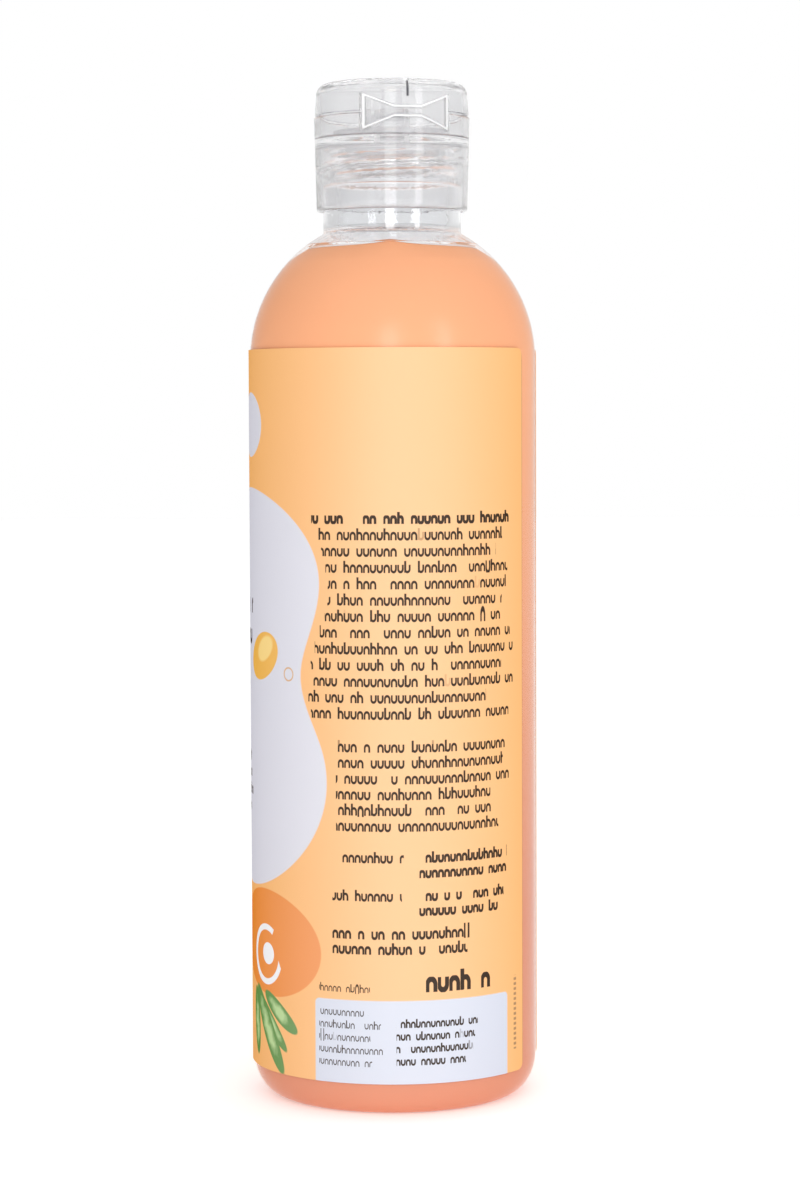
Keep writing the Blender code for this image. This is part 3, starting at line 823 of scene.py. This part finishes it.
class BOTTLE_OT_stage(bpy.types.Operator):
    """Floor, soft light and camera."""

    bl_idname = "bottle.stage"
    bl_label = "Stage"

    def execute(self, context):
        setup = context.scene.studio_setup
        self.floor()
        self.world(context, setup)
        self.lights(setup)
        self.camera(context, setup)
        context.scene.view_settings.view_transform = "Standard"
        return {"FINISHED"}

    def floor(self):
        """A wide pale floor."""
        deselect()
        bpy.ops.mesh.primitive_circle_add(vertices=96, radius=3.0, fill_type="NGON")
        floor = bpy.context.object
        floor.name = "floor"
        paint = Paint("pale_floor")
        grain = paint.noise(300.0, 2.0, 0.5)
        shader = paint.shine({"Base Color": (0.93, 0.93, 0.93), "Roughness": 0.6 + grain * 0.1,
                              "Specular IOR Level": 0.1,
                              "Emission Color": WHITE, "Emission Strength": 0.35})
        floor.data.materials.append(paint.finish(shader))

    def world(self, context, setup):
        """White to the camera; to the rest a white sweep behind and above, dimmer in front and
        at the left."""
        world = bpy.data.worlds.new("studio")
        context.scene.world = world
        world.use_nodes = True
        paint = Paint.on_tree(world.node_tree)
        ways = paint.node("TexCoord").outputs["Generated"]

        def toward(direction, low, high, dark, bright):
            """A smooth rise of brightness as a direction comes near another one."""
            dot = paint.node("VectorMath", {"operation": "DOT_PRODUCT"},
                             {0: ways, 1: direction})
            rise = paint.node("MapRange", {"interpolation_type": "SMOOTHSTEP"},
                              {"Value": dot.outputs["Value"], "From Min": low, "From Max": high,
                               "To Min": dark, "To Max": bright})
            return Wire(paint, rise.outputs[0])

        behind = (-math.sin(setup.azimuth), math.cos(setup.azimuth), 0.0)
        right = (math.cos(setup.azimuth), math.sin(setup.azimuth), 0.0)
        sweep = toward(behind, 0.1, 0.97, 0.45, 0.84)
        above = toward((0.0, 0.0, 1.0), 0.35, 0.8, 0.0, 0.35)
        left = toward(right, -0.95, -0.1, -0.3, 0.0)
        level = paint.math("MINIMUM", sweep + above + left * (1.0 - above), 1.0)
        ray = paint.node("LightPath").outputs
        inside = paint.math("MINIMUM", Wire(paint, ray["Transmission Depth"]), 1.0)
        level = paint.math("MAXIMUM", level, inside * 0.7)
        level = paint.math("MAXIMUM", level, Wire(paint, ray["Is Camera Ray"]))
        back = paint.node("Background", None, {"Color": WHITE, "Strength": level})
        paint.node("OutputWorld", None, {"Surface": back.outputs[0]})

    def soft_box(self, name, azimuth, elevation, distance, width, height, radiance, gloss):
        """An area light that faces the bottle's middle. Radiance is relative to white."""
        data = bpy.data.lights.new(name, "AREA")
        data.shape = "RECTANGLE"
        data.size = width
        data.size_y = height
        data.energy = radiance * math.pi * width * height
        lamp = bpy.data.objects.new(name, data)
        bpy.context.scene.collection.objects.link(lamp)
        a, e = math.radians(azimuth), math.radians(elevation)
        back = Vector((math.sin(a) * math.cos(e), -math.cos(a) * math.cos(e), math.sin(e)))
        lamp.location = back * distance + Vector((0, 0, 0.1))
        lamp.rotation_euler = back.to_track_quat("Z", "Y").to_euler()
        lamp.visible_camera = False
        lamp.visible_glossy = gloss
        lamp.visible_transmission = gloss
        return lamp

    def lights(self, setup):
        """Two tall soft boxes, a wide fill, and glints that only the bare bottle takes."""
        box, away = setup.soft_box, 1.6
        self.soft_box("front_box", -14.0, 8.0, away, 0.48, 1.3, box, True)
        self.soft_box("side_box", 30.0, 8.0, away, 0.31, 1.3, box * 1.3, True)
        self.soft_box("fill", -15.0, 18.0, 2.2, 2.3, 2.2, setup.fill, False)
        clear = bpy.data.collections.new("glint_takers")
        for name, azimuth, width in (("glint", -15.0, 0.42), ("side_glint", 30.0, 0.26)):
            lamp = self.soft_box(name, azimuth, 6.0, away, width, 1.1, setup.glint, True)
            lamp.visible_diffuse = False
            lamp.light_linking.receiver_collection = clear

    def camera(self, context, setup):
        """A long lens that looks slightly down at the bottle."""
        data = bpy.data.cameras.new("camera")
        camera = bpy.data.objects.new("camera", data)
        context.scene.collection.objects.link(camera)
        data.lens = setup.lens
        data.sensor_width = 36.0
        data.clip_start = 0.01
        turn = Matrix.Rotation(setup.azimuth + setup.yaw, 4, "Z")
        tilt = Matrix.Rotation(math.pi / 2 - setup.pitch, 4, "X")
        roll = Matrix.Rotation(setup.roll, 4, "Z")
        eye = (setup.distance * math.sin(setup.azimuth), -setup.distance * math.cos(setup.azimuth),
               setup.eye_height)
        camera.matrix_world = Matrix.Translation(eye) @ turn @ tilt @ roll
        context.scene.camera = camera


def base_corner(sizes, inset, floor):
    """Quarter oval from the resting ring out to the straight wall, set in from the outside."""
    centre = sizes.body_radius - sizes.corner_width
    width = sizes.corner_width - inset
    height = sizes.corner_height - floor
    turns = [math.radians(90 * i / 14) for i in range(15)]
    return [(centre + width * math.sin(a), floor + height * (1 - math.cos(a))) for a in turns]


def punt(sizes, height):
    """The dome pushed up into the base, from its edge to the axis."""
    edge = sizes.body_radius - sizes.corner_width - 2 * MM
    return [(edge * (1 - s / 8), height + sizes.punt_depth * (1 - (1 - s / 8) ** 2))
            for s in range(9)]


class BOTTLE_OT_bottle(bpy.types.Operator):
    """The blown bottle: base, body, shoulder, neck ring and threaded mouth."""

    bl_idname = "bottle.bottle"
    bl_label = "Bottle"

    def execute(self, context):
        sizes = context.scene.bottle_sizes
        colours = context.scene.finish_colours
        radius = sizes.body_radius
        rim = BOTTLE_HIGH.z
        inner = radius - sizes.wall
        floor = 1.2 * MM

        fillet = 0.7 * MM
        ring_round = 0.6 * MM
        root_round = 0.3 * MM
        lip_round = 0.5 * MM
        meet = self.shoulder_meet(sizes, fillet)
        section = punt(sizes, 0.0)[::-1]
        section += base_corner(sizes, 0.0, 0.0)
        section += line((radius, sizes.corner_height), (radius, sizes.shoulder_start), 12)
        section += arc(0, sizes.shoulder_start, radius, 0, meet["angle"], 40)[1:]
        section += arc(meet["x"], meet["z"], fillet, meet["angle"] - 180, -180, 6)[1:]
        section += arc(sizes.ring_radius - ring_round, sizes.ring_top - ring_round, ring_round,
                       0, 90, 8)
        section += arc(sizes.neck_radius + root_round, sizes.ring_top + root_round, root_round,
                       -90, -180, 4)
        section += line(section[-1], (sizes.neck_radius, rim - 0.7 * MM), 40)
        section += arc(sizes.neck_radius - lip_round, rim - lip_round, lip_round, 0, 90, 6)
        section += arc(sizes.bore + RIM_ROUND, rim - RIM_ROUND, RIM_ROUND, 90, 180, 4)
        section += self.inner_shoulder(sizes, inner)
        section += base_corner(sizes, sizes.wall, floor)[::-1]
        section += punt(sizes, floor)
        bottle = turned("bottle_shell", section)

        start_z = sizes.ring_top + THREAD_RISE
        push(bottle, lambda r, a, z: helix_weight(
            a, z, NECK_THREAD_START, start_z, 1.25, sizes.thread_pitch, 1.5 * MM)
            if r > sizes.neck_radius - 0.05 * MM and z > sizes.ring_top + 0.2 * MM else 0.0,
            sizes.thread_depth)
        smooth(bottle)
        clear = clear_plastic("clear_pet", colours.clear_bottle, PET_INDEX, 2.0, 0.00025,
                              edges=(sizes.ring_top, rim))
        dress(bottle, "bottle_body", "clear_pet", clear, "bottle")
        bottle.data.materials.append(wetted_skin("clear_pet_wetted", PET_INDEX))
        for face in bottle.data.polygons:
            face.material_index = int(face.center.z < sizes.liquid_level - 0.3 * MM)
        return {"FINISHED"}

    def shoulder_meet(self, sizes, fillet):
        """Where the fillet under the neck ring touches the shoulder's sphere."""
        x = sizes.ring_radius + fillet
        reach = sizes.body_radius + fillet
        height = math.sqrt(reach ** 2 - x ** 2)
        return {"x": x, "z": sizes.shoulder_start + height,
                "angle": math.degrees(math.atan2(height, x))}

    def inner_shoulder(self, sizes, inner):
        """Down the bore, round its lower edge and down the inside of the dome."""
        fillet = 1.6 * MM
        x = sizes.bore + fillet
        height = math.sqrt((inner + fillet) ** 2 - x ** 2)
        angle = math.degrees(math.atan2(height, x))
        top = sizes.shoulder_start + height
        down = line((sizes.bore, BOTTLE_HIGH.z - RIM_ROUND), (sizes.bore, top), 12)[:-1]
        down += arc(x, top, fillet, 180, 180 + angle, 8)
        down += arc(0, sizes.shoulder_start, inner, angle, 0, 30)[1:]
        return down


class BOTTLE_OT_shampoo(bpy.types.Operator):
    """The opaque liquid, up to its level in the shoulder."""

    bl_idname = "bottle.shampoo"
    bl_label = "Shampoo"

    def execute(self, context):
        sizes = context.scene.bottle_sizes
        gap = 0.09 * MM
        radius = sizes.body_radius - gap
        level = sizes.liquid_level
        cling, bank = 0.35 * MM, 1.1 * MM
        angle = math.degrees(math.asin((level - cling - sizes.shoulder_start) / radius))
        rim_r = radius * math.cos(math.radians(angle))
        section = punt(sizes, gap)[::-1]
        section += base_corner(sizes, gap, gap)
        section += line((radius, sizes.corner_height), (radius, sizes.shoulder_start), 6)
        section += arc(0, sizes.shoulder_start, radius, 0, angle, 60)[1:]
        section += [(rim_r - cling, level - EDGE), (rim_r - bank, level)]
        section += line((rim_r - bank, level), (0.0, level), 8)
        liquid = turned("shampoo", section)
        self.settle(liquid, level)
        smooth(liquid, 60.0)
        dress(liquid, "bottle_body", "peach_shampoo",
              pearly_liquid(context.scene.finish_colours), "shampoo_fill")
        return {"FINISHED"}

    def settle(self, liquid, level):
        """Let the liquid's line sag a little, apart from one lap that clings to the wall."""
        reach = 3.0 * MM
        lap_angle, lap_width = -13.5, 17.0

        def sag(_, angle, z):
            away = (angle - lap_angle) / lap_width
            high = min(1.0, max(0.0, z - level + reach) / (2.6 * MM))
            return high * (1.0 - math.exp(-abs(away) ** 1.3))

        push(liquid, sag, -0.7 * MM, "Z")


class BOTTLE_OT_label(bpy.types.Operator):
    """The printed film wrapped round the body."""

    bl_idname = "bottle.label"
    bl_label = "Label"

    def execute(self, context):
        sizes = context.scene.bottle_sizes
        outer = LABEL_HIGH.y
        thickness = 0.12 * MM
        radius = outer - thickness
        sweep = FULL_TURN - (sizes.label_to - sizes.label_from)
        width = radius * sweep
        height = LABEL_HIGH.z - LABEL_LOW.z
        label = flat_plate("label_wrap", 1, width, height)
        edit_mode()
        bpy.ops.mesh.select_mode(type="VERT")
        select_all()
        bpy.ops.mesh.bevel(offset=sizes.label_corner, segments=8, affect="VERTICES")
        cut_columns(width, 220)
        object_mode()
        middle = (sizes.label_from + sizes.label_to + FULL_TURN) / 2
        bend_round(label, width, radius, middle, (LABEL_LOW.z + LABEL_HIGH.z) / 2)
        face_out(label)
        apply(label, "SOLIDIFY", thickness=thickness, offset=1.0)
        smooth(label)
        dress(label, "bottle_body", "label_film",
              label_film(context.scene.finish_colours, outer), "label")
        return {"FINISHED"}


class BOTTLE_OT_closure(bpy.types.Operator):
    """The screw-on base of the closure: threaded skirt, deck and spout."""

    bl_idname = "bottle.closure"
    bl_label = "Closure Base"

    def execute(self, context):
        sizes = context.scene.bottle_sizes
        cap = context.scene.closure_sizes
        low, top, spout_top = BASE_LOW.z, cap.wall_top, BASE_HIGH.z
        top_radius = BASE_HIGH.x
        round_low = 0.65 * MM
        chamfer = 0.15 * MM
        spout_round = 0.3 * MM
        section = [(cap.bore, top - EDGE), (cap.bore + EDGE, top),
                   (top_radius - chamfer, top), (top_radius, top - chamfer)]
        section += line(section[-1], (cap.skirt_radius, low + round_low), 10)
        section += arc(cap.skirt_radius - round_low, low + round_low, round_low, 0, -90, 5)[1:]
        section += [(cap.bore + EDGE, low), (cap.bore, low + EDGE)]
        section += line((cap.bore, low + EDGE), (cap.bore, cap.deck_bottom - FILLET), 56)
        section += arc(cap.bore - FILLET, cap.deck_bottom - FILLET, FILLET, 0, 90, 4)[1:]
        section += line(section[-1], (cap.spout_radius + 3.0 * MM, cap.deck_bottom + 0.15 * MM), 4)
        section += line(section[-1], (cap.orifice_radius, cap.deck_bottom + 0.55 * MM), 4)
        section += [(cap.orifice_radius, spout_top - 0.2 * MM),
                    (cap.orifice_radius + 0.2 * MM, spout_top),
                    (cap.spout_radius - spout_round, spout_top),
                    (cap.spout_radius, spout_top - spout_round),
                    (cap.spout_radius, cap.deck_top + 1.0 * MM),
                    (cap.spout_radius + FILLET, cap.deck_top + 0.6 * MM)]
        for ring in (6.2 * MM, 9.4 * MM):
            section += line(section[-1], (ring, cap.deck_top), 3)
            section += arc(ring + FILLET, cap.deck_top + 1.1 * MM, FILLET, 180, 0, 6)
            section.append((ring + 0.8 * MM, cap.deck_top))
        section += line(section[-1], (cap.bore - FILLET, cap.deck_top), 2)
        section += arc(cap.bore - FILLET, cap.deck_top + FILLET, FILLET, -90, 0, 4)[1:]
        section += line(section[-1], (cap.bore, top - EDGE), 4)[:-1]
        base = turned("closure_skirt", section, closed=True)
        # the skirt's ridge lies halfway between two turns of the neck's
        start_z = sizes.ring_top + THREAD_RISE - sizes.thread_pitch / 2
        start_z += sizes.thread_pitch * (SKIRT_THREAD_START - NECK_THREAD_START) / CIRCLE
        depth = cap.bore - sizes.neck_radius - 0.45 * MM
        push(base, lambda r, a, z: helix_weight(
            a, z, SKIRT_THREAD_START, start_z, 1.0, sizes.thread_pitch, 1.2 * MM)
            if abs(r - cap.bore) < 0.02 * MM and z < cap.deck_bottom - FILLET else 0.0, depth)
        cut_window(base, cap)
        self.thumb_recess(base, cap, top_radius)
        smooth(base)
        dress(base, "closure", "clear_pp",
              closure_plastic("clear_pp", 5.0, (top, low, cap.deck_top)), "closure_base")
        return {"FINISHED"}

    def thumb_recess(self, base, cap, radius):
        """Cut the shallow recess under the lid's front edge, with its sill sloping out."""
        reach = 2.0 * MM
        outer = radius + reach
        width = outer * cap.thumb_angle
        height = cap.thumb_height + reach
        cutter = flat_plate("thumb_recess", 24, width, height)
        low = cap.wall_top - cap.thumb_height
        bend_round(cutter, width, outer, math.pi, low + height / 2)
        face_out(cutter)
        apply(cutter, "SOLIDIFY", thickness=reach + cap.thumb_depth, offset=-1.0)
        pick(cutter)
        edit_mode()
        select_where(cutter, "VERT", lambda p: math.hypot(p.x, p.y) < radius and p.z < low + MM)
        shift(0, 0, cap.thumb_slope)
        object_mode()
        cut_away(base, cutter)


def cut_window(piece, cap):
    """Cut the bow-tie opening of the hinge through a wall."""
    gap = 0.16 * MM
    front, depth = 14.5 * MM, 5.5 * MM
    half_inner = STRAP_HIGH.x + 0.05 * MM
    half_outer = LOBE_HIGH.x + gap
    tall_inner = WEB_NARROW + 2 * gap
    tall_outer = (LOBE_HIGH.z - LOBE_LOW.z) + 2 * gap
    window = flat_plate("window", 1, 2 * half_inner, tall_inner)
    edit_mode()
    for side in (-1, 1):
        select_where(window, "EDGE", lambda p: p.x * side > half_inner * 0.9)
        bpy.ops.mesh.extrude_region_move(
            TRANSFORM_OT_translate={"value": (side * (half_outer - half_inner), 0, 0)})
        bpy.ops.transform.resize(value=(1, 1, tall_outer / tall_inner),
                                 center_override=(0, 0, 0))
    select_all()
    bpy.ops.mesh.extrude_region_move(TRANSFORM_OT_translate={"value": (0, depth, 0)})
    select_all()
    bpy.ops.mesh.normals_make_consistent(inside=False)
    shift(0, -front, cap.hinge_height)
    object_mode()
    cut_away(piece, window)


def select_where(piece, kind, test):
    """In edit mode, select the vertices, edges or faces whose points all pass a test."""
    bpy.ops.mesh.select_all(action="DESELECT")
    bpy.ops.mesh.select_mode(type="VERT")
    object_mode()
    for vertex in piece.data.vertices:
        vertex.select = test(vertex.co)
    edit_mode()
    bpy.ops.mesh.select_mode(type=kind)


class BOTTLE_OT_seal(bpy.types.Operator):
    """The ring under the deck that plugs the mouth."""

    bl_idname = "bottle.seal"
    bl_label = "Mouth Seal"

    def execute(self, context):
        outer, top, low = SEAL_HIGH.x, SEAL_HIGH.z, SEAL_LOW.z
        wall = 0.9 * MM
        section = [(outer - wall, top), (outer - EDGE, top), (outer, top - EDGE),
                   (outer, low + 0.9 * MM), (outer - 0.35 * MM, low + EDGE),
                   (outer - 0.5 * MM, low), (outer - wall + EDGE, low),
                   (outer - wall, low + EDGE)]
        seal = turned("mouth_seal", section, closed=True)
        smooth(seal)
        dress(seal, "seal_carrier", "clear_pp_seal", closure_plastic("clear_pp_seal", 7.0),
              "mouth_seal_ring")
        return {"FINISHED"}


class BOTTLE_OT_lid(bpy.types.Operator):
    """The flip-up lid with its spout plug."""

    bl_idname = "bottle.lid"
    bl_label = "Lid"

    def execute(self, context):
        cap = context.scene.closure_sizes
        radius, low, top = LID_HIGH.x, LID_BOTTOM, LID_HIGH.z
        top_radius = radius - 0.25 * MM
        inner = radius - cap.lid_wall
        under = top - 1.2 * MM
        lip = 0.12 * MM
        ceiling_round = 1.0 * MM
        plug_root = 0.3 * MM
        plug = cap.orifice_radius - 0.3 * MM
        plug_low = LID_LOW.z
        section = [(0.0, top)]
        section += line((0.0, top), (top_radius - cap.lid_corner, top), 6)
        section += arc(top_radius - cap.lid_corner, top - cap.lid_corner, cap.lid_corner,
                       90, 0, 12)[1:]
        section += line(section[-1], (radius, low + lip), 6)
        section += [(radius - lip, low), (inner + lip, low), (inner, low + lip)]
        section += line(section[-1], (inner, under - ceiling_round), 5)
        section += arc(inner - ceiling_round, under - ceiling_round, ceiling_round, 0, 90, 8)[1:]
        section += line(section[-1], (plug + plug_root, under), 5)
        section += [(plug, under - plug_root), (plug, plug_low + FILLET),
                    (plug - FILLET, plug_low), (0.0, plug_low)]
        lid = turned("lid_cover", section)
        cut_window(lid, cap)
        width, tall = 0.34 * MM, 3.2 * MM
        self.groove(lid, width, tall, radius, top)
        smooth(lid)
        dress(lid, "flip_lid", "clear_pp_lid", closure_plastic("clear_pp_lid", 9.0, (low,)),
              "lid")
        # painted shade: the groove's small inner faces take a dull grey
        lid.data.materials.append(groove_painted_shade())
        for face in lid.data.polygons:
            x, y, z = face.center
            in_groove = abs(x) < width / 2 + 0.01 * MM and y < -inner and z > top - tall - EDGE
            face.material_index = int(in_groove and face.area < 2e-6)
        return {"FINISHED"}

    def groove(self, lid, width, tall, radius, top):
        """The short witness line down the lid's rear edge, above the hinge, cut as a groove whose
        faces take painted shade.
        """
        deselect()
        bpy.ops.mesh.primitive_cube_add(size=1)
        cutter = bpy.context.object
        edit_mode()
        bpy.ops.transform.resize(value=(width, 1.6 * MM, tall))
        shift(0, -radius + EDGE, top - tall / 2)
        object_mode()
        cut_away(lid, cutter)


class BOTTLE_OT_hinge(bpy.types.Operator):
    """The bow-tie hinge: one thin web, narrow in the middle and tall at its ends."""

    bl_idname = "bottle.hinge"
    bl_label = "Hinge"

    def execute(self, context):
        cap = context.scene.closure_sizes
        tall = LOBE_HIGH.z - LOBE_LOW.z
        half = math.asin(LOBE_HIGH.x / WEB_RADIUS) * WEB_RADIUS
        waist = STRAP_HIGH.x
        web = flat_plate("hinge_web", 1, 2 * half, 1.0)
        edit_mode()
        # each column is wider than the rim, so that the rim doesn't fold at the ends
        columns = 20
        cut_columns(2 * half, columns)
        for column in range(columns + 1):
            x = half * (2 * column / columns - 1)
            share = max(0.0, (abs(x) - waist) / (half - waist))
            select_where(web, "VERT", lambda p: abs(p.x - x) < 0.01 * MM)
            column_height = WEB_NARROW + (tall - WEB_NARROW) * share
            bpy.ops.transform.resize(value=(1, 1, column_height), center_override=(x, 0, 0))
        bpy.ops.mesh.select_mode(type="FACE")
        select_all()
        # a rim, then a step down to the sunk middle
        for thickness, depth in ((0.16, 0.0), (0.32, 0.0), (0.12, -0.14)):
            bpy.ops.mesh.inset(thickness=thickness * MM, depth=depth * MM)
        object_mode()
        bend_round(web, 2 * half, WEB_RADIUS, 0.0, cap.hinge_height)
        face_out(web)
        apply(web, "SOLIDIFY", thickness=cap.web_thickness, offset=-1.0)
        apply(web, "BEVEL", width=0.1 * MM, segments=3, limit_method="ANGLE",
              angle_limit=math.radians(60))
        smooth(web)
        # the web's material carries a painted highlight along its rim
        painted_rim_plastic = hinge_plastic(context.scene.finish_colours.clear_closure, cap.hinge_height,
                               (half, waist, WEB_NARROW / 2, tall / 2))
        dress(web, "hinge_webs", "clear_pp_hinge", painted_rim_plastic, "hinge_strap", "hinge_lobe_left",
              "hinge_lobe_right")
        return {"FINISHED"}


class BOTTLE_PT_panel(bpy.types.Panel):
    """Lists the pieces of the bottle and its stage."""

    bl_idname = "BOTTLE_PT_panel"
    bl_label = "Shampoo Bottle"
    bl_space_type = "VIEW_3D"
    bl_region_type = "UI"
    bl_category = "Bottle"

    def draw(self, context):
        for operator in OPERATORS:
            self.layout.operator(operator.bl_idname)
        for group in ("bottle_sizes", "closure_sizes", "finish_colours", "studio_setup"):
            settings = getattr(context.scene, group)
            box = self.layout.box()
            for key in settings.bl_rna.properties.keys():
                if key not in ("rna_type", "name"):
                    box.prop(settings, key)


GROUPS = {"bottle_sizes": BottleSizes, "closure_sizes": ClosureSizes,
          "finish_colours": FinishColours, "studio_setup": StudioSetup}
OPERATORS = (BOTTLE_OT_stage, BOTTLE_OT_bottle, BOTTLE_OT_shampoo, BOTTLE_OT_label,
             BOTTLE_OT_closure, BOTTLE_OT_seal, BOTTLE_OT_lid, BOTTLE_OT_hinge)


def register():
    for group, kind in GROUPS.items():
        bpy.utils.register_class(kind)
        setattr(bpy.types.Scene, group, PointerProperty(type=kind))
    for kind in OPERATORS + (BOTTLE_PT_panel,):
        bpy.utils.register_class(kind)


def unregister():
    for kind in reversed(OPERATORS + (BOTTLE_PT_panel,)):
        bpy.utils.unregister_class(kind)
    for group, kind in reversed(GROUPS.items()):
        delattr(bpy.types.Scene, group)
        bpy.utils.unregister_class(kind)


def main():
    register()
    for operator in OPERATORS:
        family, name = operator.bl_idname.split(".")
        getattr(getattr(bpy.ops, family), name)()


if __name__ == "__main__":
    main()
